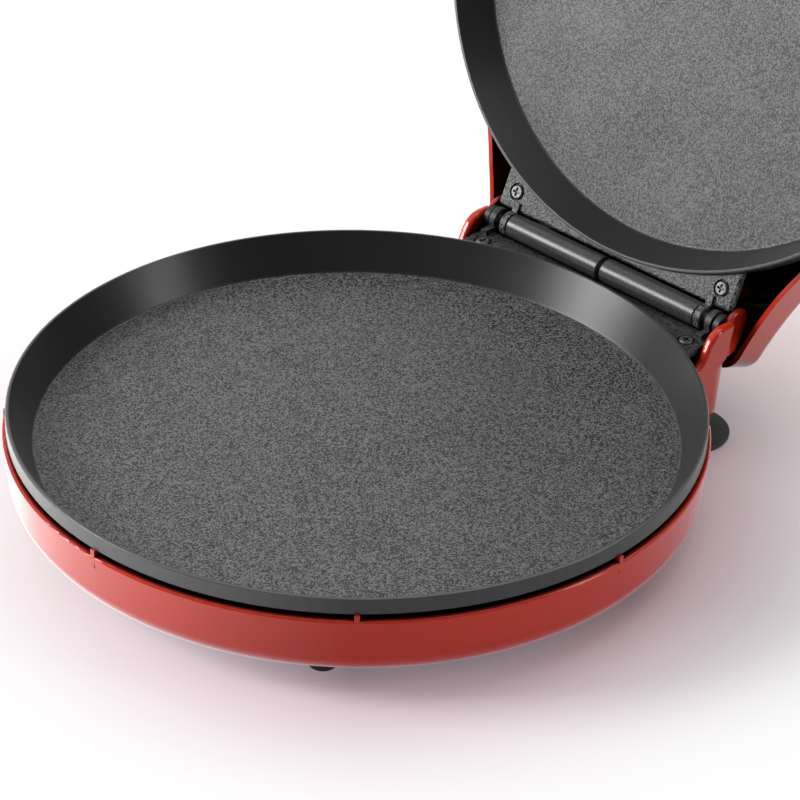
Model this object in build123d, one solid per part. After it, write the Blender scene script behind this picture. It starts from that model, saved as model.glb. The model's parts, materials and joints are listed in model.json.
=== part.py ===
from build123d import *
import math
import os

# Round countertop pizza maker with its lid open.
# Millimetres, +Z up, the front towards -Y, the hinge along X at the back.
# The pieces are drawn about the centre of the plates, and then the whole is
# moved so that the origin lies on the table below the middle of its outline.

# Plates, shared by the lower and the upper one
lip_radius = 163.0
foot_height = 5.0
lip_width = 1.7
pan_wall_run = 10.5
pan_depth = 18.5
pan_thickness = 3.0
pan_cove_radius = 1.5
skirt_depth = 7.7
skirt_wall = 2.4
skirt_root_depth = 4.6
flange_drop = 3.0
flange_thickness = 3.0
lower_flange_corner = 4.5
upper_flange_corner = 2.0
lower_flange_edge = 0.7
upper_flange_edge = 1.6

# Hinge, its axis a set way behind the lip
hinge_setback = 9.0
hinge_rise = 2.0
open_angle = 115.0
closed_gap = 0.4
shaft_radius = 3.0
shaft_clearance = 0.06
knuckle_radius = 6.2
knuckle_width = 3.4
knuckle_spacing = 7.2
sleeve_radius = 6.2
sleeve_inner_end = 1.0
sleeve_gap = 0.5
sleeve_edge = 0.6
bush_radius = 5.6
bush_length = 3.8
bush_edge = 0.8
bush_gap = 0.4
lower_flange_setback = 4.3
upper_flange_setback = 6.9
flange_side_reach = 9.0
flange_side_gap = 1.2

# Ears at the two ends of the hinge
ear_thickness = 5.0
ear_crest = 3.6
ear_front_reach = 25.5
ear_slope_low = 5.3
ear_slope_middle = 10.7
ear_slope_high = 15.5
ear_edge_radius = 1.7
ear_foot = 15.5
hood_thickness = 2.6
hood_reach = 13.8
hood_rise = 7.0
hood_drop = 16.2
hood_edge_radius = 1.1

# Housings, shared by the base and the lid
rim_drop = 10.8
rim_margin = 1.7
rim_edge_radius = 1.3
side_draft = 2.0
side_drop = 30.0
floor_edge_run = 37.7
housing_depth = 49.0
housing_wall = 2.6
rib_width = 2.4
rib_length = 5.4
rib_height = 6.0
rib_count = 8
extension_overlap = 68.0

# Rear extension of the base
back_wall_setback = 2.4
base_corner_radius = 12.0
base_extension_rise = 2.0
base_taper = 4.0
base_edge_fillet = 7.0
back_wall_drop = 6.5
back_wall_length = 14.4
lead_notch_depth = 11.0

# Rear extension of the lid
lid_back_reach = 22.0
lid_ear_clearance = 4.6
lid_side_angle = 17.8
lid_side_radius = 154.0
lid_corner_radius = 12.0
lid_extension_rise = 11.0
lid_taper = 3.0
lid_edge_fillet = 8.0
lid_skirt_rise = 4.2
lid_skirt_reach = 22.0
lid_crown = 3.0

# Screws and the posts that take them
screw_x = 67.0
screw_setback = 16.0
screw_head_radius = 3.7
screw_head_height = 1.8
screw_head_edge = 0.7
screw_shank_radius = 1.8
screw_recess_gap = 0.8
screw_recess_depth = 1.2
screw_length = 18.0
cross_reach = 2.2
cross_half_width = 0.55
cross_depth = 1.0
hole_gap = 0.4
post_radius = 5.5
post_root = 1.5
thread_clearance = 0.05
front_screw_x = 62.0
front_screw_inset = 55.0
plate_boss_drop = 28.0
front_post_screw_depth = 9.0
fixing_head_radius = 3.6
fixing_head_height = 2.0
fixing_screw_bite = 5.0
small_screw_radius = 1.4
small_head_radius = 2.8
small_head_height = 1.5
small_screw_length = 9.0

# Heating elements, reflectors and controls
element_inset = 33.0
element_tube_radius = 3.3
element_bend_radius = 10.0
element_gap_angle = 14.0
seat_gap = 0.25
clamp_thickness = 1.0
clamp_width = 11.0
clamp_foot = 8.0
clamp_gap = 0.3
clamp_angles = (30.0, 150.0, 270.0)
reflector_drop = 34.0
reflector_thickness = 0.8
reflector_inset = 11.0
reflector_rim_width = 12.0
reflector_rim_rise = 4.0
reflector_hole_radius = 22.0
reflector_post_inset = 4.0
reflector_post_radius = 4.0
reflector_post_count = 4
reflector_post_start = 45.0
thermostat_radius = 8.2
thermostat_height = 8.0
thermostat_flange_length = 30.0
thermostat_flange_width = 9.0
thermostat_flange_thickness = 1.2
blade_width = 6.3
blade_thickness = 0.8
blade_length = 7.0
blade_spacing = 8.0
fuse_radius = 2.2
fuse_length = 20.0
fuse_tail_radius = 0.6
fuse_tail_length = 8.0
fuse_x = 42.0
fuse_y = -24.0
saddle_half_width = 4.0
saddle_half_length = 8.0
terminal_length = 36.0
terminal_width = 16.0
terminal_height = 10.0
terminal_setback = 25.0
terminal_corner = 1.5
terminal_gap = 19.0
terminal_screw_radius = 3.4
terminal_screw_lift = 1.5
wire_radius = 1.5
wire_bend = 2.0
lead_radius = 2.5
lead_x = -30.0
lead_setback = 20.0
lead_drop = 29.0
lid_lead_setback = 12.0
lid_lead_drop = 26.0
lead_bend = 3.5
supply_bend = 5.0
supply_run = 16.0
light_lead_rear = 36.0
light_lead_side = 50.0
light_lead_front = 42.0
light_lead_gap = 32.0
light_lead_bend = 9.0

# Supply inlet bush in the back wall
inlet_x = -48.0
inlet_drop = 33.0
inlet_neck_radius = 6.4
inlet_flange_radius = 8.6
inlet_flange_thickness = 2.0
inlet_flange_edge = 0.8
inlet_bore_radius = 3.6
inlet_neck_reach = 3.0
inlet_lead_gap = 0.6
inlet_clearance = 0.1

# Feet
front_foot_angle = 51.14
front_foot_outset = 10.48
front_foot_radius = 6.6
rear_foot_outset = 3.0
rear_foot_setback = 15.0
rear_foot_disc_radius = 21.0
rear_foot_disc_height = 2.6
rear_foot_neck_radius = 11.0
foot_edge_radius = 0.9
foot_seat_gap = 0.05
foot_screw_head_lift = 1.2
foot_screw_length = 13.0

# Bottom vents
vent_count = 12
vent_inner_radius = 44.0
vent_outer_radius = 70.0
vent_width = 4.0

# Lid handle
handle_half_span = 52.0
handle_reach = 34.0
handle_root = 12.0
handle_bar_height = 19.0
handle_bar_depth = 12.0
handle_corner_radius = 16.0
handle_drop = 27.0
handle_seat_gap = 0.15
handle_screw_length = 16.0
handle_pilot_reach = 14.0

# Indicator lights
light_x = 16.0
light_inset = 13.0
lens_radius = 5.0
lens_dome = 2.0
lens_flange_radius = 6.5
lens_flange_thickness = 1.2
lens_clearance = 0.1
lens_seat_gap = 0.4
lamp_radius = 3.0
lamp_board_length = 50.0
lamp_board_width = 12.0
lamp_board_thickness = 1.6
lamp_post_radius = 3.0
lamp_height = 6.0

# Places that follow from the sizes above
lip_height = housing_depth + foot_height
base_extension_depth = housing_depth - base_extension_rise
lid_extension_depth = housing_depth - lid_extension_rise
pan_floor_radius = lip_radius - lip_width - pan_wall_run
pan_bottom = pan_depth + pan_thickness
rim_radius = lip_radius + rim_margin
side_radius = rim_radius - side_draft
floor_radius = side_radius - floor_edge_run
floor_drop = housing_depth - housing_wall
hinge_back = lip_radius + hinge_setback
hinge_height = lip_height + hinge_rise
extension_front = side_radius - extension_overlap
base_back = hinge_back + back_wall_setback
back_wall_start = base_back - back_wall_length
lid_back = hinge_back + lid_back_reach
screw_y = hinge_back - screw_setback
front_screw_y = front_screw_inset - lip_radius
flange_half_width = screw_x + flange_side_reach
ear_inner = flange_half_width + flange_side_gap
ear_outer = ear_inner + ear_thickness
shaft_half_length = ear_inner - bush_gap
shaft_bore_radius = shaft_radius + shaft_clearance
bush_start = shaft_half_length - bush_length
lower_knuckle_start = bush_start - bush_gap - knuckle_width
upper_knuckle_start = lower_knuckle_start - knuckle_spacing
sleeve_outer_end = upper_knuckle_start - sleeve_gap
terminal_y = hinge_back - terminal_setback
terminal_front = terminal_y - terminal_width / 2 - seat_gap
element_terminal_end = terminal_y - terminal_gap
element_radius = floor_radius - element_inset
reflector_rim_radius = floor_radius - reflector_inset
reflector_flat_radius = reflector_rim_radius - reflector_rim_width
reflector_post_circle = reflector_flat_radius - reflector_post_inset
lead_y = hinge_back - lead_setback
lid_lead_y = hinge_back - lid_lead_setback
front_foot_x = (floor_radius + front_foot_outset) * math.cos(math.radians(front_foot_angle))
front_foot_y = -(floor_radius + front_foot_outset) * math.sin(math.radians(front_foot_angle))
rear_foot_x = screw_x + rear_foot_outset
rear_foot_y = hinge_back - rear_foot_setback
light_y = light_inset - floor_radius


def turned(outline):
    """A solid of revolution about Z from edges drawn as radius and height."""
    return revolve(Plane.XZ * make_face(outline), Axis.Z)


def rod(radius, length, start, direction):
    """A cylinder from a start point along a direction."""
    plane = Plane(origin=start, z_dir=direction)
    return extrude(plane * Circle(radius), length)


def both_sides(piece):
    """A piece and its mirror image across the middle of the appliance."""
    return piece + mirror(piece, Plane.YZ)


def left_of(piece):
    return mirror(piece, Plane.YZ)


def block(x_range, y_range, z_range):
    """A box between two corners, given as ranges along each axis."""
    size = [high - low for low, high in (x_range, y_range, z_range)]
    centre = [(high + low) / 2 for low, high in (x_range, y_range, z_range)]
    return Pos(*centre) * Box(*size)


def around(piece, angles):
    """Copies of a piece turned about Z."""
    return [Rot(0, 0, angle) * piece for angle in angles]


def group(pieces):
    """Separate solids kept together as one node."""
    return Compound([solid for piece in pieces for solid in piece.solids()])


def placed_base(piece):
    """From the plate's own frame, lip at zero, to its place in the base."""
    return Pos(0, 0, lip_height) * piece


def placed_lid(piece):
    """From the plate's own frame to the open lid, cooking side turned over."""
    closed = Pos(0, 0, lip_height + closed_gap) * mirror(piece, Plane.XY)
    hinge_axis = Axis((0, hinge_back, hinge_height), (1, 0, 0))
    return closed.rotate(hinge_axis, -open_angle)


def lid_point(x, y, z):
    """Where a point of the lid's own frame lies when the lid is open."""
    angle = math.radians(-open_angle)
    dy = y - hinge_back
    dz = lip_height + closed_gap - z - hinge_height
    back = dy * math.cos(angle) - dz * math.sin(angle)
    up = dy * math.sin(angle) + dz * math.cos(angle)
    return (x, hinge_back + back, hinge_height + up)


def cross_recess(depth):
    """The cross cut into a screw's head, its top at zero."""
    arm = block((-cross_reach, cross_reach), (-cross_half_width, cross_half_width), (-depth, depth))
    return arm + Rot(0, 0, 90) * arm


def screw(head_radius, head_height, shank_radius, length):
    """A pan-head screw, its head's top at zero and its shank down -Z."""
    head = turned(
        Polyline((0, 0), (head_radius - screw_head_edge, 0), (head_radius, -screw_head_edge),
                 (head_radius, -head_height), (0, -head_height), (0, 0))
    )
    shank = rod(shank_radius, length, (0, 0, -head_height), (0, 0, -1))
    return head + shank - cross_recess(cross_depth)


# Plates. Each is drawn facing up with the top of its lip at z = 0.

def pan_body():
    """The round dish: lip, short outer skirt, sloped wall and flat floor."""
    lip_inner = lip_radius - lip_width
    skirt_inner = lip_radius - skirt_wall
    under_floor_radius = pan_floor_radius - pan_thickness / 2
    outline = Polyline(
        (0, -pan_depth),
        (pan_floor_radius, -pan_depth),
        (lip_inner, 0),
        (lip_radius, 0),
        (lip_radius, -skirt_depth),
        (skirt_inner, -skirt_depth),
        (skirt_inner, -skirt_root_depth),
        (under_floor_radius, -pan_bottom),
        (0, -pan_bottom),
        (0, -pan_depth),
    )
    section = make_face(outline)
    cove = section.vertices().sort_by_distance((pan_floor_radius, -pan_depth, 0))[0]
    section = fillet(cove, pan_cove_radius)
    rim = section.vertices().sort_by_distance((lip_radius, 0, 0))[0]
    section = fillet(rim, lip_width / 2)
    return revolve(Plane.XZ * section, Axis.Z)


def rear_flange(back, corner, edge):
    """The flat flange behind the dish, with a recess and hole at each screw."""
    front = math.sqrt((lip_radius - skirt_wall / 2) ** 2 - flange_half_width ** 2)
    outline = Pos(0, (front + back) / 2) * Rectangle(2 * flange_half_width, back - front)
    corners = outline.vertices().group_by(Axis.Y)[-1]
    sheet = Pos(0, 0, -flange_drop - flange_thickness) * extrude(
        fillet(corners, corner), flange_thickness
    )
    back_edge = sheet.edges().filter_by(Axis.X).group_by(Axis.Y)[-1].sort_by(Axis.Z)[-1]
    sheet = fillet(back_edge, edge)
    dish_side = rod(lip_radius - skirt_wall / 2, 2 * flange_thickness,
                    (0, 0, -flange_drop - 1.5 * flange_thickness), (0, 0, 1))
    sheet -= dish_side
    recess = rod(screw_head_radius + screw_recess_gap, screw_recess_depth,
                 (screw_x, screw_y, -flange_drop), (0, 0, -1))
    hole = rod(screw_shank_radius + hole_gap, 2 * flange_thickness,
               (screw_x, screw_y, -flange_drop), (0, 0, -1))
    return sheet - both_sides(recess + hole)


def knuckle(start, width, axis_height, arm_front, arm_top, arm_bottom):
    """A hinge eye on the flange's back edge, with the arm that carries it."""
    eye = rod(knuckle_radius, width, (start, hinge_back, axis_height), (1, 0, 0))
    arm = block((start, start + width), (arm_front, hinge_back), (arm_bottom, arm_top))
    bore = rod(shaft_bore_radius, width + 2, (start - 1, hinge_back, axis_height), (1, 0, 0))
    return eye + arm, bore


def plate_bosses():
    """Two bosses under the front of the dish for the fixing screws."""
    length = plate_boss_drop - pan_bottom
    boss = rod(post_radius, length, (front_screw_x, front_screw_y, -pan_bottom), (0, 0, -1))
    pilot = rod(screw_shank_radius + thread_clearance, length,
                (front_screw_x, front_screw_y, -pan_bottom), (0, 0, -1))
    return both_sides(boss - pilot)


def plate(flange_back, corner, edge, knuckle_start, axis_height):
    arm_front = screw_y + screw_head_radius + screw_recess_gap
    flange_bottom = -flange_drop - flange_thickness
    arm_top = max(-flange_drop, min(axis_height, 0))
    eye, bore = knuckle(knuckle_start, knuckle_width, axis_height,
                        arm_front, arm_top, flange_bottom)
    body = pan_body() + rear_flange(flange_back, corner, edge)
    body += both_sides(eye) + plate_bosses()
    return body - both_sides(bore)


def lower_plate():
    return plate(hinge_back - lower_flange_setback, lower_flange_corner,
                 lower_flange_edge, lower_knuckle_start, hinge_rise)


def upper_plate():
    return plate(hinge_back - upper_flange_setback, upper_flange_corner,
                 upper_flange_edge, upper_knuckle_start, closed_gap - hinge_rise)


# Housings, in the same frame as the plates: the rim up, the body below it.

def bowl(inset, crown, top):
    """The round part of a housing, drawn in by inset."""
    bottom = -housing_depth + inset
    side = side_radius - inset
    rim = rim_radius - inset
    floor_line = Line((0, bottom), (floor_radius, bottom))
    if crown:
        floor_line = ThreePointArc((0, bottom - crown), (floor_radius / 2, bottom - 0.75 * crown),
                                   (floor_radius, bottom))
    outline = [
        Line((0, top), (0, bottom - crown)),
        floor_line,
        EllipticalCenterArc((floor_radius, -side_drop), side - floor_radius,
                            -side_drop - bottom, start_angle=-90, arc_size=90),
        Line((side, -side_drop), (rim, -rim_drop)),
    ]
    if top > -rim_drop:
        outline.append(Line((rim, -rim_drop), (rim, top)))
    outline.append(Line((rim, top), (0, top)))
    return turned(outline)


def extension(inset, top, side, corner, taper, depth, edge):
    """The box behind the round body that holds the hinge, drawn in by inset.

    Its right side is given as an edge that runs from the front to the back."""
    right = Pos(-inset, 0, 0) * side
    left = mirror(right, Plane.YZ)
    section = make_face([Line(left @ 0, right @ 0), right, Line(right @ 1, left @ 1), left])
    corners = section.vertices().group_by(Axis.Y)[-1]
    section = Pos(0, 0, -rim_drop) * fillet(corners, corner - inset)
    solid = extrude(section, -(depth - inset - rim_drop), taper=taper)
    floor_face = solid.faces().sort_by(Axis.Z)[0]
    rounded = fillet(floor_face.edges(), edge - inset)
    if top > -rim_drop:
        rounded += extrude(section, top + rim_drop)
    return rounded


def base_half_width(y):
    """Half the width of the base's rear extension, the same all along."""
    return ear_outer


def base_block(inset, top):
    side = Line((ear_outer, extension_front), (ear_outer, base_back - inset))
    return bowl(inset, 0, top) + extension(
        inset, top, side, base_corner_radius, base_taper, base_extension_depth, base_edge_fillet)


def lid_half_width(y):
    """Half the width of the lid's rear extension, which narrows to the back."""
    ahead = hinge_back - y
    slope = math.tan(math.radians(lid_side_angle))
    return ear_outer + lid_ear_clearance + ahead * slope + ahead ** 2 / (2 * lid_side_radius)


def lid_block(inset, top):
    rows = (extension_front, (extension_front + lid_back) / 2, lid_back - inset)
    side = ThreePointArc(*[(lid_half_width(y), y) for y in rows])
    return bowl(inset, lid_crown, top) + extension(
        inset, top, side, lid_corner_radius, lid_taper, lid_extension_depth, lid_edge_fillet)


def rim_rounding(back):
    """What the rounding of the rim's outer edge takes off, forward of a line."""
    inner = rim_radius - rim_edge_radius
    low = -rim_drop - rim_edge_radius
    corner = turned([
        CenterArc((inner, low), rim_edge_radius, 0, 90),
        Line((inner, -rim_drop), (inner, -rim_drop + rim_edge_radius)),
        Line((inner, -rim_drop + rim_edge_radius), (lip_radius + rim_drop, -rim_drop + rim_edge_radius)),
        Line((lip_radius + rim_drop, -rim_drop + rim_edge_radius), (lip_radius + rim_drop, low)),
        Line((lip_radius + rim_drop, low), (rim_radius, low)),
    ])
    reach = 2 * lip_radius
    return corner - block((-reach, reach), (back, reach), (-reach, reach))


def spacer_ribs(half_width):
    """Small ribs on the rim that carry the plate's skirt, with none over the extension."""
    inner = rim_radius - rib_length
    rib = block((inner, rim_radius - rim_edge_radius / 4), (-rib_width / 2, rib_width / 2),
                (-rim_drop - rib_height, -skirt_depth))
    angles = []
    for n in range(rib_count):
        turn = math.radians(n * 360 / rib_count)
        x, y = rim_radius * math.cos(turn), rim_radius * math.sin(turn)
        if y < extension_front or abs(x) > half_width(y):
            angles.append(math.degrees(turn))
    return around(rib, angles)


def screw_post(x, y, low, hole_radius):
    """A hollow post that carries the plate's flange at one screw."""
    top = -flange_drop - flange_thickness
    tube = rod(post_radius, top - low, (x, y, low), (0, 0, 1))
    hole = rod(hole_radius, top - low, (x, y, low + post_root), (0, 0, 1))
    return tube - hole


def rear_posts(extension_depth):
    low = -extension_depth + housing_wall / 2
    return both_sides(screw_post(screw_x, screw_y, low, screw_shank_radius + thread_clearance))


def front_screw_seat():
    """Height at which the head of a plate's fixing screw sits in its post."""
    return -housing_depth + front_post_screw_depth


def front_posts():
    low = -floor_drop - post_root
    return both_sides(rod(post_radius + 1, -plate_boss_drop - low,
                          (front_screw_x, front_screw_y, low), (0, 0, 1)))


def front_post_cut():
    """The bore that a fixing screw's head enters from outside, and its way up."""
    seat = front_screw_seat()
    start = (front_screw_x, front_screw_y, seat)
    wide = rod(fixing_head_radius + hole_gap, housing_depth, start, (0, 0, -1))
    narrow = rod(screw_shank_radius + hole_gap, housing_depth, start, (0, 0, 1))
    return both_sides(wide + narrow)


def reflector_angles():
    step = 360 / reflector_post_count
    return [reflector_post_start + n * step for n in range(reflector_post_count)]


def reflector_posts():
    low = -floor_drop - post_root
    post = rod(reflector_post_radius, -reflector_drop - low, (reflector_post_circle, 0, low), (0, 0, 1))
    pilot = rod(small_screw_radius + thread_clearance, -reflector_drop - low,
                (reflector_post_circle, 0, low + 2 * post_root), (0, 0, 1))
    return around(post - pilot, reflector_angles())


def terminal_seat(extension_depth, housing):
    """A pad from the curved floor up to the underside of the terminal block."""
    half_length = terminal_length / 2 - terminal_corner
    half_width = terminal_width / 2 - terminal_corner
    pad = block((-half_length, half_length), (terminal_y - half_width, terminal_y + half_width),
                (-housing_depth, -extension_depth + housing_wall))
    return pad & housing


def ear_cheek():
    """The thick rounded cheek at the right end of the hinge, its back edge upright."""
    front = hinge_back - ear_front_reach
    crest = hinge_rise + ear_crest
    foot = -ear_foot
    top_line = Spline(
        (front, -rim_drop),
        (front + ear_slope_low, 0.75 * -rim_drop),
        (front + ear_slope_middle, 0.15 * crest),
        (front + ear_slope_high, 0.83 * crest),
        (hinge_back - ear_thickness, crest),
        (hinge_back + back_wall_setback / 2, crest - 0.3),
    )
    back_line = Polyline(
        top_line @ 1,
        (hinge_back - ear_crest, foot + ear_crest),
        (base_back - base_corner_radius, foot),
        (front, foot),
        (front, -rim_drop),
    )
    cheek = extrude(Plane.YZ * make_face([top_line, back_line]), ear_thickness)
    crests = [edge for edge in cheek.edges().filter_by(GeomType.BSPLINE)]
    return Pos(ear_inner, 0, 0) * fillet(crests, ear_edge_radius)


def ear_hood():
    """The guard that stands behind the hinge's right end, inside the lid's swing."""
    outline = Spline(
        (0.0, ear_crest - 0.5),
        (0.45 * hood_reach, 0.95 * hood_rise),
        (0.85 * hood_reach, 0.86 * hood_rise),
        (hood_reach, 0.25 * hood_rise),
        (0.76 * hood_reach, -0.55 * hood_drop),
        (0.45 * hood_reach, -0.9 * hood_drop),
        (0.0, -hood_drop),
    )
    face = make_face([outline, Line(outline @ 1, outline @ 0)])
    hood = extrude(Plane.YZ * face, hood_thickness)
    outer_edges = hood.edges().filter_by(GeomType.BSPLINE).sort_by(Axis.X)
    return Pos(ear_inner, hinge_back, hinge_rise) * fillet(outer_edges[-1], hood_edge_radius)


def inlet_plane():
    """On the back wall's outer face, its normal pointing out of the housing."""
    slope = math.radians(base_taper)
    wall_y = base_back - (inlet_drop - rim_drop) * math.tan(slope)
    return Plane(origin=(inlet_x, wall_y, -inlet_drop), x_dir=(1, 0, 0),
                 z_dir=(0, math.cos(slope), -math.sin(slope)))


def bottom_vents():
    """A ring of rounded slots through the floor."""
    slot = SlotOverall(vent_outer_radius - vent_inner_radius, vent_width)
    middle = (vent_outer_radius + vent_inner_radius) / 2
    cutter = Pos(middle, 0, -housing_depth - housing_wall) * extrude(slot, 3 * housing_wall)
    step = 360 / vent_count
    return around(cutter, [(n + 0.5) * step for n in range(vent_count)])


def lead_notch():
    """A notch in the back wall's top where the lid's lead passes."""
    half = lead_radius + 2
    top = -back_wall_drop + 1
    return block((lead_x - half, lead_x + half), (base_back - 2 * housing_wall, base_back + 1),
                 (top - lead_notch_depth, top))


def foot_sockets():
    """Pilot holes through the floor for the screws of the feet."""
    radius = small_screw_radius + thread_clearance
    low = -housing_depth - 1
    front = rod(radius, 3 * housing_wall, (front_foot_x, front_foot_y, low), (0, 0, 1))
    rear = rod(radius, 4 * housing_wall, (screw_x, screw_y, low), (0, 0, 1))
    return both_sides(front + rear)


def base_housing():
    body = base_block(0, -back_wall_drop) - base_block(housing_wall, 1)
    reach = 2 * lip_radius
    body -= block((-reach, reach), (-reach, back_wall_start), (-rim_drop, 1))
    body -= rim_rounding(hinge_back - ear_front_reach)
    body += spacer_ribs(base_half_width)
    body += both_sides(ear_cheek() + ear_hood())
    body += rear_posts(base_extension_depth)
    body += front_posts()
    body += reflector_posts()
    body += terminal_seat(base_extension_depth, base_block(housing_wall / 2, -rim_drop))
    body -= front_post_cut()
    body -= bottom_vents()
    body -= lead_notch()
    body -= foot_sockets()
    inlet = Circle(inlet_neck_radius + inlet_clearance)
    body -= extrude(inlet_plane() * inlet, 2 * housing_wall, both=True)
    return body


def lid_skirt_cut():
    """Raises the rim of the rear extension towards the back, clear of the hoods."""
    start = hinge_back - lid_skirt_reach
    profile = Polyline((start, -rim_drop), (lid_back, -rim_drop - lid_skirt_rise),
                       (lid_back + 1, 0), (start, 0), (start, -rim_drop))
    return extrude(Plane.YZ * make_face(profile), lip_radius, both=True)


def handle_pilots():
    """Holes in the front wall for the handle's screws."""
    return both_sides(rod(screw_shank_radius + hole_gap, handle_reach,
                          (handle_half_span, -rim_radius, -handle_drop), (0, 1, 0)))


def lens_holes():
    return both_sides(rod(lens_radius + lens_clearance, 2 * lens_radius,
                          (light_x, light_y, -housing_depth - lens_radius), (0, 0, 1)))


def lamp_post():
    low = -floor_drop - post_root
    return rod(lamp_post_radius, lamp_board_height() - low, (0, light_y, low), (0, 0, 1))


def lid_housing():
    body = lid_block(0, -rim_drop) - lid_block(housing_wall, 1)
    body -= lid_skirt_cut()
    body -= rim_rounding(extension_front)
    body += spacer_ribs(lid_half_width)
    body += rear_posts(lid_extension_depth)
    body += front_posts()
    body += reflector_posts()
    body += terminal_seat(lid_extension_depth, lid_block(housing_wall / 2, -rim_drop))
    body += lamp_post()
    body -= front_post_cut()
    body -= handle_pilots()
    body -= lens_holes()
    return body


# Hinge parts, in the plate's frame.

def hinge_shaft():
    start = (-shaft_half_length, hinge_back, hinge_rise)
    return rod(shaft_radius, 2 * shaft_half_length, start, (1, 0, 0))


def hinge_tube(radius, start, end, chamfered, edge):
    """A tube on the hinge axis with the edges at the given ends broken."""
    tube = rod(radius, end - start, (start, hinge_back, hinge_rise), (1, 0, 0))
    rims = tube.edges().filter_by(GeomType.CIRCLE).sort_by(Axis.X)
    tube = chamfer([rims[n] for n in chamfered], edge)
    bore = rod(shaft_bore_radius, end - start + 2, (start - 1, hinge_back, hinge_rise), (1, 0, 0))
    return tube - bore


def hinge_sleeve():
    return hinge_tube(sleeve_radius, sleeve_inner_end, sleeve_outer_end, (0, 1), sleeve_edge)


def hinge_bush():
    return hinge_tube(bush_radius, bush_start, shaft_half_length, (0,), bush_edge)


# Heating, controls and wiring, in the plate's frame.

def element_height():
    return -pan_bottom - seat_gap - element_tube_radius


def element_end_x():
    reach = element_radius + element_bend_radius
    return reach * math.sin(math.radians(element_gap_angle)) - element_bend_radius


def heating_element():
    """A tube ring under the floor whose two ends turn out to the back."""
    reach = element_radius + element_bend_radius
    bend_x = reach * math.sin(math.radians(element_gap_angle))
    bend_y = reach * math.cos(math.radians(element_gap_angle))
    end_x = element_end_x()
    turn = 90 - element_gap_angle
    edges = [
        Line((end_x, element_terminal_end), (end_x, bend_y)),
        CenterArc((bend_x, bend_y), element_bend_radius, 180, turn),
        CenterArc((0, 0), element_radius, turn, -360 + 2 * element_gap_angle),
        CenterArc((-bend_x, bend_y), element_bend_radius, -turn, turn),
        Line((-end_x, bend_y), (-end_x, element_terminal_end)),
    ]
    path = Pos(0, 0, element_height()) * Wire(edges)
    start = Plane(origin=(end_x, element_terminal_end, element_height()), z_dir=(0, -1, 0))
    return sweep(start * Circle(element_tube_radius), path)


def element_clamps():
    """Straps over the tube with two feet flat on the plate."""
    top = -pan_bottom
    inner = element_tube_radius + clamp_gap
    drop = element_height() - inner
    outer = inner + clamp_thickness
    foot_end = outer + clamp_foot
    profile = Polyline(
        (-foot_end, top), (-inner, top), (-inner, drop), (inner, drop), (inner, top),
        (foot_end, top), (foot_end, top - clamp_thickness), (outer, top - clamp_thickness),
        (outer, drop - clamp_thickness), (-outer, drop - clamp_thickness),
        (-outer, top - clamp_thickness), (-foot_end, top - clamp_thickness), (-foot_end, top),
    )
    strap = extrude(Plane.XZ * make_face(profile), clamp_width / 2, both=True)
    return group(around(Pos(element_radius, 0, 0) * strap, clamp_angles))


def heat_reflector():
    """A thin dish with a raised rim, on posts below the element."""
    low = -reflector_drop
    slope = math.atan2(reflector_rim_rise, reflector_rim_radius - reflector_flat_radius)
    rise = reflector_thickness / math.cos(slope)
    dish = turned(Polyline(
        (reflector_hole_radius, low),
        (reflector_flat_radius, low),
        (reflector_rim_radius, low + reflector_rim_rise),
        (reflector_rim_radius, low + reflector_rim_rise + rise),
        (reflector_flat_radius, low + reflector_thickness),
        (reflector_hole_radius, low + reflector_thickness),
        (reflector_hole_radius, low),
    ))
    hole = rod(small_screw_radius + hole_gap, 2 * reflector_rim_rise,
               (reflector_post_circle, 0, low - reflector_rim_rise), (0, 0, 1))
    return dish - around(hole, reflector_angles())


def reflector_screws():
    top = -reflector_drop + reflector_thickness + small_head_height
    piece = Pos(reflector_post_circle, 0, top) * screw(
        small_head_radius, small_head_height, small_screw_radius, small_screw_length)
    return group(around(piece, reflector_angles()))


def thermostat():
    """A snap disc in its cup, a fixing strip and two blades."""
    top = -pan_bottom
    flange = Pos(0, 0, top - thermostat_flange_thickness / 2) * Box(
        thermostat_flange_length, thermostat_flange_width, thermostat_flange_thickness)
    cup = rod(thermostat_radius, thermostat_height, (0, 0, top), (0, 0, -1))
    blade = Pos(blade_spacing / 2, 0, top - thermostat_height - blade_length / 2) * Box(
        blade_thickness, blade_width, blade_length)
    return cup + flange + both_sides(blade)


def thermal_fuse():
    """A small capsule with its saddle flat under the plate."""
    top = -pan_bottom
    height = top - fuse_radius - thermostat_flange_thickness + seat_gap
    start = fuse_x - fuse_length / 2
    capsule = rod(fuse_radius, fuse_length, (start, fuse_y, height), (1, 0, 0))
    tails = rod(fuse_tail_radius, fuse_length + 2 * fuse_tail_length,
                (start - fuse_tail_length, fuse_y, height), (1, 0, 0))
    saddle = block((fuse_x - saddle_half_width, fuse_x + saddle_half_width),
                   (fuse_y - saddle_half_length, fuse_y + saddle_half_length),
                   (top - thermostat_flange_thickness, top))
    return capsule + tails + saddle


def terminal_block(extension_depth):
    """A block with three screws on the floor of the extension."""
    low = -extension_depth + housing_wall
    high = low + terminal_height
    body = block((-terminal_length / 2, terminal_length / 2),
                 (terminal_y - terminal_width / 2, terminal_y + terminal_width / 2), (low, high))
    body = fillet(body.edges().filter_by(Axis.Z), terminal_corner)
    pitch = terminal_length / 3
    head = rod(terminal_screw_radius, 2 * terminal_screw_lift,
               (0, terminal_y, high - terminal_screw_lift), (0, 0, 1))
    for n in (-1, 0, 1):
        body += Pos(n * pitch, 0, 0) * head
    return body


def wire(radius, points, bend):
    """A lead through a few points, its corners rounded."""
    path = FilletPolyline(*points, radius=bend)
    start = Plane(origin=path @ 0, z_dir=path % 0)
    return sweep(start * Circle(radius), path)


def mirrored_points(points):
    return [(-x, y, z) for x, y, z in points]


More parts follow.
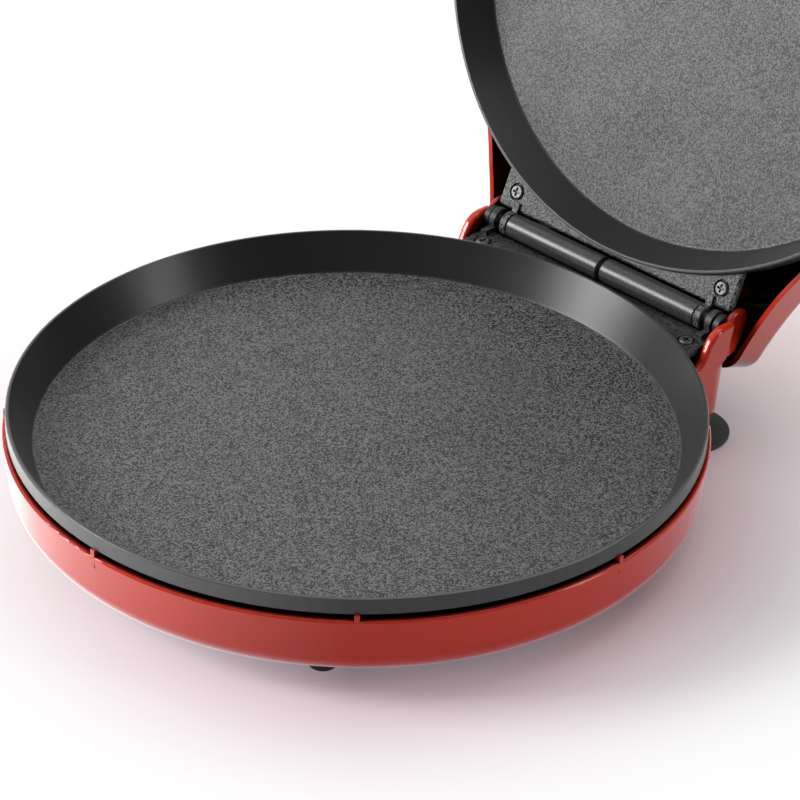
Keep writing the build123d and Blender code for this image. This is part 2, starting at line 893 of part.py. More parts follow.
def wire_pair(points, bend):
    return [wire(wire_radius, points, bend), wire(wire_radius, mirrored_points(points), bend)]


def element_leads(block_low):
    """Two leads from the front of the terminal block up to the element's ends."""
    end = element_terminal_end + seat_gap
    middle = (terminal_front + end) / 2
    side_height = block_low + terminal_height / 2
    return wire_pair([
        (element_end_x(), terminal_front, side_height),
        (element_end_x(), middle, side_height),
        (element_end_x(), middle, element_height()),
        (element_end_x(), end, element_height()),
    ], wire_bend)


def thermostat_leads(block_low):
    """Two leads under the reflector, up to the blades of the thermostat."""
    blade_end = -pan_bottom - thermostat_height - blade_length - seat_gap
    x = blade_spacing / 2
    low = blade_end - 2 * wire_bend
    side_height = block_low + terminal_height / 2
    return wire_pair([
        (x, terminal_front, side_height),
        (x, (terminal_front + element_terminal_end) / 2, side_height),
        (x, element_terminal_end, low),
        (x, 0.0, low),
        (x, 0.0, blade_end),
    ], wire_bend)


def base_wiring():
    """Supply lead, the leads of the element and thermostat, and the lid's feed."""
    low = -base_extension_depth + housing_wall
    side_height = low + terminal_height / 2
    side = -terminal_length / 2 - seat_gap
    supply_y = terminal_y - terminal_width / 4
    bush_end = inlet_plane().origin.Y - housing_wall - inlet_neck_reach - inlet_lead_gap
    supply = wire(lead_radius, [
        (side, supply_y, side_height),
        (side - supply_run, supply_y, side_height),
        (inlet_x, bush_end - supply_run / 2, -inlet_drop),
        (inlet_x, bush_end, -inlet_drop),
    ], supply_bend)
    lid_feed = wire(lead_radius, [
        (side, lead_y, side_height),
        (lead_x, lead_y, side_height),
        (lead_x, lead_y, -lead_drop - seat_gap),
    ], lead_bend)
    return group([supply, lid_feed] + element_leads(low) + thermostat_leads(low))


def lid_wiring():
    """The feed from the hinge, and leads to element, thermostat and lights."""
    low = -lid_extension_depth + housing_wall
    side_height = low + terminal_height / 2
    side = -terminal_length / 2 - seat_gap
    feed = wire(lead_radius, [
        (lead_x, lid_lead_y - seat_gap, -lid_lead_drop),
        (lead_x, lid_lead_y - lead_bend, -lid_lead_drop),
        (lead_x, terminal_y, side_height),
        (side, terminal_y, side_height),
    ], lead_bend)
    board_end = -lamp_board_length / 2 - seat_gap
    board_middle = lamp_board_height() + lamp_board_thickness / 2
    light_start = -blade_spacing
    lights = wire(wire_radius, [
        (light_start, terminal_front, side_height),
        (light_start, element_terminal_end, side_height),
        (-light_lead_rear, element_terminal_end - light_lead_gap, board_middle),
        (-light_lead_side, 0.0, board_middle),
        (-light_lead_front, light_y, board_middle),
        (board_end, light_y, board_middle),
    ], light_lead_bend)
    return group([feed, lights] + element_leads(low) + thermostat_leads(low))


def hinge_lead():
    """The flexible lead from the base up behind the hinge into the open lid."""
    start = lip_height - lead_drop
    crossing = lip_height - lead_drop / 2
    return wire(lead_radius, [
        (lead_x, lead_y, start),
        (lead_x, lead_y, start + 2 * lead_bend),
        (lead_x, hinge_back - 2 * lead_bend, crossing),
        (lead_x, hinge_back + lead_bend, crossing + lead_radius),
        (lead_x, hinge_back + 4 * lead_bend, crossing + lead_radius + 0.5),
        lid_point(lead_x, lid_lead_y + 2.5 * lead_bend, -lid_lead_drop),
        lid_point(lead_x, lid_lead_y, -lid_lead_drop),
    ], lead_bend)


# Trim, feet and screws.

def cord_inlet():
    """A flanged bush that lines the supply hole in the back wall."""
    plane = inlet_plane()
    flange = extrude(plane * Circle(inlet_flange_radius), inlet_flange_thickness)
    outer_edge = flange.edges().filter_by(GeomType.CIRCLE).sort_by(Axis.Y)[-1]
    flange = fillet(outer_edge, inlet_flange_edge)
    neck = extrude(plane * Circle(inlet_neck_radius), -(housing_wall + inlet_neck_reach))
    bore = extrude(plane * Circle(inlet_bore_radius), 2 * inlet_neck_radius, both=True)
    return flange + neck - bore


def foot_screw_cut(x, y):
    """The recess under a foot for its screw's head, and the hole above."""
    start = (x, y, -lip_height)
    head = rod(small_head_radius + hole_gap, foot_screw_head_lift + small_head_height,
               start, (0, 0, 1))
    hole = rod(small_screw_radius + hole_gap, housing_depth, start, (0, 0, 1))
    return head + hole


def front_foot():
    """A small round foot whose top follows the curved underside."""
    start = (front_foot_x, front_foot_y, -lip_height)
    body = rod(front_foot_radius, 2 * front_foot_radius, start, (0, 0, 1))
    bottom_edge = body.edges().filter_by(GeomType.CIRCLE).sort_by(Axis.Z)[0]
    body = fillet(bottom_edge, foot_edge_radius)
    body -= base_block(-foot_seat_gap, 0)
    return body - foot_screw_cut(front_foot_x, front_foot_y)


def rear_foot():
    """A broad flat pad that reaches out behind the body, with a neck on top."""
    start = (rear_foot_x, rear_foot_y, -lip_height)
    disc = rod(rear_foot_disc_radius, rear_foot_disc_height, start, (0, 0, 1))
    disc = fillet(disc.edges().filter_by(GeomType.CIRCLE), foot_edge_radius)
    neck = Pos(0, 0, foot_edge_radius) * rod(rear_foot_neck_radius, rear_foot_neck_radius, start, (0, 0, 1))
    body = disc + neck - base_block(-foot_seat_gap, 0)
    return body - foot_screw_cut(screw_x, screw_y)


def foot_screws():
    piece = Rot(180, 0, 0) * screw(small_head_radius, small_head_height,
                                   small_screw_radius, foot_screw_length)
    height = -lip_height + foot_screw_head_lift
    spots = [(front_foot_x, front_foot_y), (screw_x, screw_y)]
    return group([Pos(side * x, y, height) * piece for x, y in spots for side in (1, -1)])


def plate_screws():
    """The two screws that show in a plate's rear flange."""
    piece = screw(screw_head_radius, screw_head_height, screw_shank_radius, screw_length)
    top = -flange_drop - screw_recess_depth + screw_head_height
    return group([Pos(side * screw_x, screw_y, top) * piece for side in (1, -1)])


def plate_fixing_screws():
    """Two screws from outside the housing up into the front of a plate."""
    length = -plate_boss_drop - front_screw_seat() + fixing_screw_bite
    piece = Rot(180, 0, 0) * screw(fixing_head_radius, fixing_head_height,
                                   screw_shank_radius, length)
    height = front_screw_seat() - fixing_head_height
    return group([Pos(side * front_screw_x, front_screw_y, height) * piece for side in (1, -1)])


def lid_handle():
    """A bowed grip on two posts at the front of the lid."""
    front = -lip_radius - handle_reach
    root = -lip_radius + handle_root
    path = FilletPolyline(
        (-handle_half_span, root, -handle_drop),
        (-handle_half_span, front, -handle_drop),
        (handle_half_span, front, -handle_drop),
        (handle_half_span, root, -handle_drop),
        radius=handle_corner_radius,
    )
    start = Plane(origin=path @ 0, x_dir=(1, 0, 0), z_dir=(0, -1, 0))
    grip = sweep(start * Ellipse(handle_bar_depth / 2, handle_bar_height / 2), path)
    grip -= lid_block(-handle_seat_gap, 0)
    pilot = rod(screw_shank_radius + thread_clearance, handle_reach,
                (handle_half_span, -lip_radius - handle_pilot_reach, -handle_drop), (0, 1, 0))
    return grip - both_sides(pilot)


def handle_screws():
    """Two screws from inside the lid's front wall into the handle's posts."""
    outermost = handle_half_span + screw_head_radius
    seat = math.sqrt((side_radius - housing_wall) ** 2 - outermost ** 2) - foot_seat_gap
    piece = Rot(-90, 0, 0) * screw(screw_head_radius, screw_head_height,
                                   screw_shank_radius, handle_screw_length)
    head_y = -seat + screw_head_height
    return group([Pos(side * handle_half_span, head_y, -handle_drop) * piece for side in (1, -1)])


def crown_height(x, y):
    """Height of the lid's outer face at a point of its crown."""
    share = min(1.0, math.hypot(x, y) / floor_radius)
    return -housing_depth - lid_crown * (1 - share ** 2)


def indicator_lens():
    """A domed lens in the lid's top, held by a flange on the inside."""
    outside = crown_height(light_x, light_y)
    shelf = outside + housing_wall + lens_seat_gap
    stem = rod(lens_radius, shelf - outside, (light_x, light_y, outside), (0, 0, 1))
    flange = rod(lens_flange_radius, lens_flange_thickness, (light_x, light_y, shelf), (0, 0, 1))
    ball_radius = (lens_radius ** 2 + lens_dome ** 2) / (2 * lens_dome)
    ball = Pos(light_x, light_y, outside - lens_dome + ball_radius) * Sphere(ball_radius)
    cap = ball & rod(lens_radius, lens_dome, (light_x, light_y, outside), (0, 0, -1))
    return stem + flange + cap


def lamp_base():
    """Height of the lamps' tips, just behind the lenses' flanges."""
    shelf = crown_height(light_x, light_y) + housing_wall + lens_seat_gap
    return shelf + lens_flange_thickness + seat_gap


def lamp_board_height():
    return lamp_base() + lamp_height


def indicator_lamps():
    """Two small lamps on a board behind the lenses."""
    low = lamp_board_height()
    lamp = rod(lamp_radius, lamp_height, (light_x, light_y, lamp_base()), (0, 0, 1))
    board = block((-lamp_board_length / 2, lamp_board_length / 2),
                  (light_y - lamp_board_width / 2, light_y + lamp_board_width / 2),
                  (low, low + lamp_board_thickness))
    return board + both_sides(lamp)


base_nodes = {
    "base_housing": base_housing(),
    "lower_plate": lower_plate(),
    "lower_plate_screws": plate_screws(),
    "lower_plate_fixing_screws": plate_fixing_screws(),
    "hinge_shaft": hinge_shaft(),
    "right_hinge_sleeve": hinge_sleeve(),
    "left_hinge_sleeve": left_of(hinge_sleeve()),
    "right_hinge_bush": hinge_bush(),
    "left_hinge_bush": left_of(hinge_bush()),
    "right_front_foot": front_foot(),
    "left_front_foot": left_of(front_foot()),
    "right_rear_foot": rear_foot(),
    "left_rear_foot": left_of(rear_foot()),
    "foot_screws": foot_screws(),
    "lower_heating_element": heating_element(),
    "lower_element_clamps": element_clamps(),
    "lower_heat_reflector": heat_reflector(),
    "lower_reflector_screws": reflector_screws(),
    "lower_thermostat": thermostat(),
    "thermal_fuse": thermal_fuse(),
    "base_terminal_block": terminal_block(base_extension_depth),
    "base_wiring": base_wiring(),
    "cord_inlet": cord_inlet(),
}

lid_nodes = {
    "lid_housing": lid_housing(),
    "upper_plate": upper_plate(),
    "upper_plate_screws": plate_screws(),
    "upper_plate_fixing_screws": plate_fixing_screws(),
    "lid_handle": lid_handle(),
    "handle_screws": handle_screws(),
    "ready_lens": indicator_lens(),
    "power_lens": left_of(indicator_lens()),
    "indicator_lamps": indicator_lamps(),
    "upper_heating_element": heating_element(),
    "upper_element_clamps": element_clamps(),
    "upper_heat_reflector": heat_reflector(),
    "upper_reflector_screws": reflector_screws(),
    "upper_thermostat": thermostat(),
    "lid_terminal_block": terminal_block(lid_extension_depth),
    "lid_wiring": lid_wiring(),
}

placed = {name: placed_base(piece) for name, piece in base_nodes.items()}
placed.update({name: placed_lid(piece) for name, piece in lid_nodes.items()})
placed["hinge_lead"] = hinge_lead()
outline = Compound(list(placed.values())).bounding_box()
to_origin = Pos(0, -(outline.min.Y + outline.max.Y) / 2, 0)

os.makedirs("parts", exist_ok=True)
for name, piece in placed.items():
    export_step(to_origin * piece, f"parts/{name}.step")
print("Plate centre moved to y =", round(to_origin.position.Y, 4))
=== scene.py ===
import json
import math

import bpy
from mathutils import Matrix, Vector


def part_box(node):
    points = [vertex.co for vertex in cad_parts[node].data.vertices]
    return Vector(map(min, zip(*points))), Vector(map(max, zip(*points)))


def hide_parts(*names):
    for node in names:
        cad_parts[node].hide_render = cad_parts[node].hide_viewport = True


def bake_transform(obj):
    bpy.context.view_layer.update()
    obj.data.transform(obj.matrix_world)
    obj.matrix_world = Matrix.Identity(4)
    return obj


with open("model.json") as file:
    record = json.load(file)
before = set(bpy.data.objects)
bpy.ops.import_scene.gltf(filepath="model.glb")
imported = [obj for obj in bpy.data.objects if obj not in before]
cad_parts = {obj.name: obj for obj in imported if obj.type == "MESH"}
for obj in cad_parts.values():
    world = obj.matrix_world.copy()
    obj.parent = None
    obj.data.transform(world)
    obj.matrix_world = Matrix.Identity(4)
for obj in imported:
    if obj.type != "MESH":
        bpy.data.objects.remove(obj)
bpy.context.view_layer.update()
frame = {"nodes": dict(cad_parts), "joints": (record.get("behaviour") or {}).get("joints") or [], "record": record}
scene = bpy.context.scene

# Sizes that the looks need, in metres.
LIP_HEIGHT = 0.054
LIP_RADIUS = 0.163
HINGE = Vector(frame["joints"][0]["pos_m"])
OPEN_ANGLE = math.radians(115)
PLATE_CENTRE = Vector((0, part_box("lower_plate")[0][1] + LIP_RADIUS, 0))

# Where the thin hoods stand behind the ears, from the middle, from the hinge and from the table, and how far
# painted shade darkens the red on them.
HOOD_ACROSS = (0.0765, 0.0803)
HOOD_BACK = (0.001, 0.004)
HOOD_HEIGHT = (0.046, 0.050)
HOOD_SHADE = 0.65

# Radii on the plates where one finish passes into the next.
RADIUS_UNIT = 0.2
FLOOR_EDGE = (0.1500, 0.1512)
# Between these two radii the lip's crest is painted lighter: partly wear, partly painted highlight.
LIP_START = (0.1616, 0.1622)
LIP_CREST = (0.16276, 0.16294)
FLANGE_START = (0.1633, 0.1636)

# The camera, as fitted to the photograph: its focal length in pixels of the 800-pixel frame,
# the point that the lens looks at, and where that lens stands.
FRAME_PX = 800
SENSOR_MM = 36.0
FOCAL_PX = 3755.5
CENTRE_PX = (378.96, 409.9)
AZIMUTH = math.radians(44.115)
ELEVATION = math.radians(31.745)
ROLL = math.radians(1.135)
DISTANCE = 1.74257
OFFSET = (-0.010, 0.0048)

# Where lamps stand, how large they are and how bright.
KEY_PLACE = Vector((-1.5, -1.5, 1.15))
KEY_SIZE = (0.95, 0.95)
KEY_POWER = 55.0
KEY_COLOUR = (1.0, 0.99, 0.985)
TOP_PLACE = Vector((0.1, 1.1, 2.2))
TOP_SIZE = (1.6, 1.6)
TOP_POWER = 12.0
STRIP_PLACE = Vector((1.7, 0.9, 0.8))
STRIP_SIZE = (0.4, 1.2)
STRIP_POWER = 8.5
ROOM_BRIGHT_SIDE = (-0.68, 0.36, 0.64)
ROOM_LOW = 0.11
ROOM_RISE = 1.0

# The floor's colours close to the body and away from it, darker and pinker close by as painted shadow and painted
# red bounce light, and the pink tint of its glow close by, also painted red bounce light.
FLOOR_SIZE = 12.0
FLOOR_COLOURS = [(0.18, (0.75, 0.69, 0.735)), (0.26, (0.88, 0.885, 0.905))]
BOUNCE_GLOW_TINTS = [(0.17, (1.0, 0.82, 0.91)), (0.23, (1.0, 1.0, 1.0))]

# Where the floor glows bright, to the left and at the back, as a painted pool of light, and its share of glow to
# the camera, which grows away from the body and, as painted light on the shadow, in front of it.
BRIGHT_LEFT = [(0.0, 0.0), (0.22, 1.0)]
BRIGHT_BACK = [(0.15, 0.0), (0.60, 1.0)]
SEEN_BRIGHT = 0.85
SEEN_BY_REACH = [(0.20, 0.05), (0.36, 0.42)]
SEEN_IN_FRONT = [(0.08, 0.0), (0.17, 0.22)]

# The floor's strength in reflections, a glow that paints sheen on the glossy parts that mirror it: these levels
# add up, and their sum can pass 1.
GLOSS_BRIGHT = 2.4
GLOSS_BY_REACH = [(0.18, 0.46), (0.30, 0.60), (0.60, 0.50), (0.95, 0.06)]
GLOSS_ON_RIGHT = [(0.15, 0.0), (0.25, 0.25), (0.60, 0.25), (0.90, 0.0)]


# Node helpers

class Shader:
    """A material's node tree, with short calls for the nodes that the looks use."""

    def __init__(self, name):
        self.material = bpy.data.materials.new(name)
        self.material.use_nodes = True
        self.tree = self.material.node_tree
        self.surface = self.tree.nodes["Principled BSDF"]
        self.coords = self.tree.nodes.new("ShaderNodeTexCoord").outputs["Object"]

    def node(self, kind, links=None, **settings):
        made = self.tree.nodes.new(kind)
        for key, value in settings.items():
            setattr(made, key, value)
        for socket, source in (links or {}).items():
            self.put(made.inputs[socket], source)
        return made

    def put(self, socket, source):
        if isinstance(source, bpy.types.NodeSocket):
            self.tree.links.new(source, socket)
        else:
            socket.default_value = source

    def math(self, operation, a, b=0.0, c=0.0, clamp=False):
        made = self.node("ShaderNodeMath", {0: a, 1: b, 2: c}, operation=operation)
        made.use_clamp = clamp
        return made.outputs[0]

    def vector(self, operation, a, b):
        return self.node("ShaderNodeVectorMath", {0: a, 1: b}, operation=operation).outputs[0]

    def along(self, point, direction):
        made = self.node("ShaderNodeVectorMath", {0: point, 1: direction}, operation="DOT_PRODUCT")
        return made.outputs["Value"]

    def length(self, point):
        return self.node("ShaderNodeVectorMath", {0: point}, operation="LENGTH").outputs["Value"]

    def noise(self, scale, detail=2.0, roughness=0.5, coords=None):
        made = self.node("ShaderNodeTexNoise", {
            "Vector": coords or self.coords, "Scale": scale,
            "Detail": detail, "Roughness": roughness})
        return made.outputs["Fac"]

    def cells(self, scale, output):
        made = self.node("ShaderNodeTexVoronoi", {"Vector": self.coords, "Scale": scale})
        return made.outputs[output]

    def ramp(self, value, stops):
        """A value or colour read off a ramp of (place, value) stops."""
        made = self.node("ShaderNodeValToRGB", {"Fac": value})
        points = made.color_ramp.elements
        while len(points) < len(stops):
            points.new(1.0)
        for point, (place, colour) in zip(points, stops):
            point.position = place
            grey = not isinstance(colour, tuple)
            point.color = (colour, colour, colour, 1) if grey else (*colour, 1)
        return made.outputs["Color"]

    def rise(self, value, span):
        """Zero before a span of values and one after it."""
        return self.ramp(value, [(span[0], 0.0), (span[1], 1.0)])

    def mix(self, factor, a, b):
        made = self.node("ShaderNodeMix", {"Factor": factor}, data_type="RGBA")
        colours = [socket for socket in made.inputs if socket.type == "RGBA"]
        for socket, source in zip(colours, (a, b)):
            self.put(socket, (*source, 1) if isinstance(source, tuple) else source)
        return [socket for socket in made.outputs if socket.type == "RGBA"][0]

    def bump(self, height, strength, distance, normal=None):
        links = {"Height": height, "Strength": strength, "Distance": distance}
        if normal:
            links["Normal"] = normal
        return self.node("ShaderNodeBump", links).outputs["Normal"]

    def painted_shade_openness(self, reach, shut=0.30, open=0.80):
        """One out in the open, zero deep in a hollow or gap: the mask for painted shade."""
        made = self.node("ShaderNodeAmbientOcclusion", {"Distance": reach}, samples=6)
        return self.ramp(made.outputs["AO"], [(shut, 0.0), (open, 1.0)])

    def soft_edges(self, radius):
        return self.node("ShaderNodeBevel", {"Radius": radius}, samples=6).outputs["Normal"]

    def set(self, **values):
        names = {
            "color": "Base Color", "roughness": "Roughness", "metallic": "Metallic",
            "normal": "Normal", "specular": "Specular IOR Level", "coat": "Coat Weight",
            "coat_roughness": "Coat Roughness", "transmission": "Transmission Weight",
        }
        for key, value in values.items():
            if isinstance(value, tuple):
                value = (*value, 1)
            self.put(self.surface.inputs[names[key]], value)
        return self.material


# Materials

RED = (0.54, 0.027, 0.009)
RED_DEEP = (0.49, 0.023, 0.0075)
# Painted shade colour for the hoods behind the ears.
RED_SHADED = (0.09, 0.003, 0.001)
# Painted shade colour for hollows and gaps in the red.
HOLLOW_SHADE = (0.004, 0.003, 0.003)
COAT_DARK = (0.017, 0.0172, 0.0184)
COAT_PIT = (0.003, 0.0031, 0.0033)
COAT_FLECK = (0.160, 0.162, 0.164)


def hood_shade_mask(s):
    """Mask for the painted shade on the base's thin hoods behind the ears: one there, by position, and zero
    elsewhere.
    """
    split = s.node("ShaderNodeSeparateXYZ", {"Vector": s.coords})
    across = s.math("ABSOLUTE", split.outputs["X"])
    past_inside = s.math("GREATER_THAN", across, HOOD_ACROSS[0])
    before_cheek = s.math("LESS_THAN", across, HOOD_ACROSS[1])
    back = s.rise(s.math("SUBTRACT", split.outputs["Y"], HINGE.y), HOOD_BACK)
    above = s.rise(split.outputs["Z"], HOOD_HEIGHT)
    beside = s.math("MULTIPLY", past_inside, before_cheek)
    return s.math("MULTIPLY", beside, s.math("MULTIPLY", back, above))


def glossy_red(name, shade_reach, has_hood_shade):
    """Moulded gloss plastic: faint flow in its gloss, with painted shade where it is shut in and, where asked, on
    the hoods behind the ears.
    """
    s = Shader(name)
    drift = s.noise(9.0, 3.0)
    colour = s.mix(s.ramp(drift, [(0.35, 0.0), (0.65, 1.0)]), RED_DEEP, RED)
    if has_hood_shade:
        # Painted shade on the hoods behind the ears, placed by position.
        colour = s.mix(s.math("MULTIPLY", hood_shade_mask(s), HOOD_SHADE), colour, RED_SHADED)
    # Painted shade: the red darkens to near black where it is shut in, as inside the lid housing.
    colour = s.mix(s.painted_shade_openness(shade_reach), HOLLOW_SHADE, colour)
    smear = s.ramp(s.noise(38.0, 4.0, 0.6), [(0.3, 0.10), (0.75, 0.16)])
    peel = s.bump(s.noise(420.0, 1.0), 0.05, 0.0004, s.soft_edges(0.0005))
    return s.set(color=colour, roughness=smear, normal=peel, specular=0.36, coat=0.20, coat_roughness=0.03)


def plate_radius(s, turned):
    """Distance from the plate's axis, for the base's plate or for the open lid's."""
    centred = s.vector("SUBTRACT", s.coords, tuple(PLATE_CENTRE))
    if turned:
        moved = s.vector("SUBTRACT", s.coords, tuple(HINGE))
        turn = s.node("ShaderNodeVectorRotate", {"Vector": moved, "Angle": OPEN_ANGLE},
                      rotation_type="X_AXIS")
        centred = s.vector("ADD", turn.outputs[0], tuple(HINGE - PLATE_CENTRE))
    return s.length(s.vector("MULTIPLY", centred, (1, 1, 0)))


def nonstick(name, turned, flange_share):
    """Cast plate under a non-stick coat: flecked on its flats, smooth and dark on walls and rim, lighter on the
    lip's crest from wear and painted highlight, with painted shade in its gaps.
    """
    s = Shader(name)
    share = s.math("MULTIPLY", plate_radius(s, turned), 1 / RADIUS_UNIT)

    def past(radii):
        return s.rise(share, [radius / RADIUS_UNIT for radius in radii])

    past_lip = past(FLANGE_START)
    wall = s.math("SUBTRACT", past(FLOOR_EDGE), past_lip, clamp=True)
    lip = s.math("SUBTRACT", past(LIP_START), past(LIP_CREST), clamp=True)
    grain = s.noise(1300.0, 2.0, 0.6)
    specks = s.cells(1700.0, "Color")
    flecks = s.ramp(s.mix(0.25, specks, grain), [(0.45, 0.0), (0.57, 1.0)])
    sparse = s.ramp(s.noise(1500.0, 2.0, 0.5), [(0.60, 0.0), (0.72, 0.5)])
    fleck_share = s.mix(past_lip, (0.80, 0.80, 0.80), (flange_share,) * 3)
    flat_colour = s.mix(s.math("MULTIPLY", flecks, fleck_share), COAT_PIT, COAT_FLECK)
    wall_colour = s.mix(s.math("MULTIPLY", sparse, 0.10), COAT_DARK, COAT_FLECK)
    # A lighter band on the lip's crest: partly wear, partly painted highlight.
    wall_colour = s.mix(s.math("MULTIPLY", lip, 0.55), wall_colour, COAT_FLECK)
    colour = s.mix(wall, flat_colour, wall_colour)
    # Painted shade: the coat darkens to black in gaps and recesses.
    colour = s.mix(s.painted_shade_openness(0.006, 0.12, 0.5), (0.004, 0.004, 0.004), colour)
    blotch = s.noise(26.0, 3.0)
    rough_flat = s.ramp(blotch, [(0.3, 0.42), (0.7, 0.52)])
    rough_wall = s.ramp(blotch, [(0.3, 0.27), (0.7, 0.33)])
    rough = s.mix(wall, rough_flat, rough_wall)
    depth = s.math("SUBTRACT", 1.0, s.math("MULTIPLY", wall, 0.93))
    height = s.math("MULTIPLY", grain, depth)
    normal = s.bump(height, 0.5, 0.00025, s.soft_edges(0.0004))
    return s.set(color=colour, roughness=rough, normal=normal, specular=0.42)


def coated_tube():
    """Satin black coating on steel tube, with a fine fleck."""
    s = Shader("satin_black_tube")
    grain = s.noise(1300.0, 3.0, 0.6)
    flecks = s.ramp(grain, [(0.50, 0.0), (0.68, 0.22)])
    colour = s.mix(flecks, (0.026, 0.028, 0.031), (0.25, 0.26, 0.26))
    rough = s.ramp(s.noise(60.0, 3.0), [(0.3, 0.29), (0.7, 0.36)])
    normal = s.bump(grain, 0.20, 0.00015, s.soft_edges(0.0003))
    return s.set(color=colour, roughness=rough, normal=normal, specular=0.5)


def black_plastic():
    """Matt black moulding with a fine spark-eroded grain."""
    s = Shader("grained_black_plastic")
    grain = s.cells(1500.0, "Distance")
    rough = s.ramp(s.noise(45.0, 3.0), [(0.3, 0.40), (0.7, 0.50)])
    colour = s.mix(s.noise(14.0, 2.0), (0.011, 0.011, 0.012), (0.019, 0.019, 0.020))
    return s.set(color=colour, roughness=rough, normal=s.bump(grain, 0.25, 0.0001, s.soft_edges(0.0005)))


def black_rubber():
    """Soft matt rubber with a dusty bloom."""
    s = Shader("black_rubber")
    bloom = s.ramp(s.noise(70.0, 4.0, 0.6), [(0.45, 0.0), (0.75, 0.5)])
    colour = s.mix(bloom, (0.014, 0.0145, 0.016), (0.040, 0.040, 0.042))
    rough = s.ramp(s.noise(30.0, 2.0), [(0.3, 0.55), (0.7, 0.70)])
    return s.set(color=colour, roughness=rough, normal=s.bump(s.noise(900.0, 2.0), 0.2, 0.0002))


def turned_steel():
    """Bright shaft with fine turning lines round it."""
    s = Shader("turned_steel")
    stretched = s.node("ShaderNodeMapping", {"Vector": s.coords, "Scale": (2600.0, 30.0, 30.0)})
    lines = s.noise(1.0, 2.0, 0.6, stretched.outputs[0])
    colour = s.ramp(lines, [(0.3, (0.44, 0.44, 0.45)), (0.7, (0.60, 0.60, 0.61))])
    rough = s.ramp(lines, [(0.3, 0.22), (0.7, 0.36)])
    return s.set(color=colour, metallic=1.0, roughness=rough, normal=s.bump(lines, 0.15, 0.00005))


def screw_metal(name, dark, bright, roughness):
    """Plated screw: blotchy plating, with painted shade in its recess and round its head."""
    s = Shader(name)
    blotch = s.noise(600.0, 3.0, 0.6)
    colour = s.mix(s.ramp(blotch, [(0.35, 0.0), (0.7, 1.0)]), dark, bright)
    # Painted shade: black in the recess and in the gap round the head.
    colour = s.mix(s.painted_shade_openness(0.0022, 0.35, 0.80), (0.002, 0.002, 0.002), colour)
    rough = s.ramp(s.noise(350.0, 2.0), [(0.3, roughness), (0.7, roughness + 0.12)])
    normal = s.bump(blotch, 0.1, 0.0001, s.soft_edges(0.0002))
    return s.set(color=colour, metallic=0.9, roughness=rough, normal=normal)


def heat_dark_sheath():
    """Element sheath: steel browned by heat, in bands."""
    s = Shader("heat_dark_sheath")
    bands = s.noise(22.0, 3.0, 0.6)
    colour = s.ramp(bands, [
        (0.3, (0.10, 0.095, 0.09)), (0.55, (0.19, 0.16, 0.13)), (0.8, (0.13, 0.11, 0.12))])
    rough = s.ramp(s.noise(160.0, 3.0), [(0.3, 0.38), (0.7, 0.55)])
    normal = s.bump(s.noise(900.0, 2.0), 0.15, 0.0001)
    return s.set(color=colour, metallic=0.85, roughness=rough, normal=normal)


def rolled_sheet():
    """Bright rolled aluminium sheet with a fine grain along X."""
    s = Shader("rolled_sheet")
    stretched = s.node("ShaderNodeMapping", {"Vector": s.coords, "Scale": (25.0, 1800.0, 1800.0)})
    grain = s.noise(1.0, 3.0, 0.6, stretched.outputs[0])
    colour = s.ramp(grain, [(0.3, (0.62, 0.62, 0.63)), (0.7, (0.75, 0.75, 0.76))])
    rough = s.ramp(grain, [(0.3, 0.26), (0.7, 0.42)])
    return s.set(color=colour, metallic=1.0, roughness=rough, normal=s.bump(grain, 0.12, 0.0001))


def pressed_metal():
    """Pressed and plated sheet of the controls, slightly blotched."""
    s = Shader("pressed_metal")
    blotch = s.noise(240.0, 3.0, 0.6)
    colour = s.ramp(blotch, [(0.3, (0.40, 0.40, 0.40)), (0.7, (0.55, 0.55, 0.54))])
    rough = s.ramp(s.noise(300.0, 2.0), [(0.3, 0.32), (0.7, 0.48)])
    return s.set(color=colour, metallic=1.0, roughness=rough, normal=s.bump(blotch, 0.1, 0.0001))


def natural_plastic():
    """Uncoloured plastic of the terminal blocks."""
    s = Shader("natural_plastic")
    colour = s.mix(s.noise(60.0, 3.0), (0.62, 0.58, 0.48), (0.70, 0.67, 0.58))
    rough = s.ramp(s.noise(120.0, 2.0), [(0.3, 0.38), (0.7, 0.5)])
    return s.set(color=colour, roughness=rough, normal=s.bump(s.noise(800.0, 2.0), 0.1, 0.0001))


def braided_sleeve():
    """Glass-fibre braid over the internal leads."""
    s = Shader("braided_sleeve")
    weave = s.cells(1400.0, "Distance")
    colour = s.mix(s.ramp(weave, [(0.1, 0.0), (0.6, 1.0)]), (0.62, 0.61, 0.57), (0.76, 0.75, 0.71))
    rough = s.ramp(s.noise(200.0, 2.0), [(0.3, 0.6), (0.7, 0.75)])
    return s.set(color=colour, roughness=rough, normal=s.bump(weave, 0.5, 0.0003))


def lead_jacket():
    """Smooth black jacket of the lead across the hinge."""
    s = Shader("black_lead_jacket")
    colour = s.mix(s.noise(90.0, 3.0), (0.010, 0.010, 0.010), (0.022, 0.022, 0.022))
    rough = s.ramp(s.noise(60.0, 2.0), [(0.3, 0.38), (0.7, 0.5)])
    return s.set(color=colour, roughness=rough, normal=s.bump(s.noise(700.0, 2.0), 0.1, 0.0001))


def lens(name, colour, deep):
    """Translucent lens with a faint moulded swirl."""
    s = Shader(name)
    tint = s.mix(s.noise(500.0, 2.0), colour, deep)
    rough = s.ramp(s.noise(300.0, 2.0), [(0.3, 0.06), (0.7, 0.14)])
    return s.set(color=tint, roughness=rough, transmission=0.35, coat=0.4, coat_roughness=0.04,
                 normal=s.bump(s.noise(700.0, 1.0), 0.05, 0.0001))


def lamp_board():
    """Green circuit board under the two lights."""
    s = Shader("lamp_board")
    tracks = s.ramp(s.noise(260.0, 2.0), [(0.48, 0.0), (0.52, 1.0)])
    colour = s.mix(tracks, (0.02, 0.12, 0.05), (0.03, 0.17, 0.07))
    rough = s.ramp(s.noise(100.0, 2.0), [(0.3, 0.35), (0.7, 0.45)])
    return s.set(color=colour, roughness=rough, normal=s.bump(s.noise(500.0, 2.0), 0.1, 0.0001))


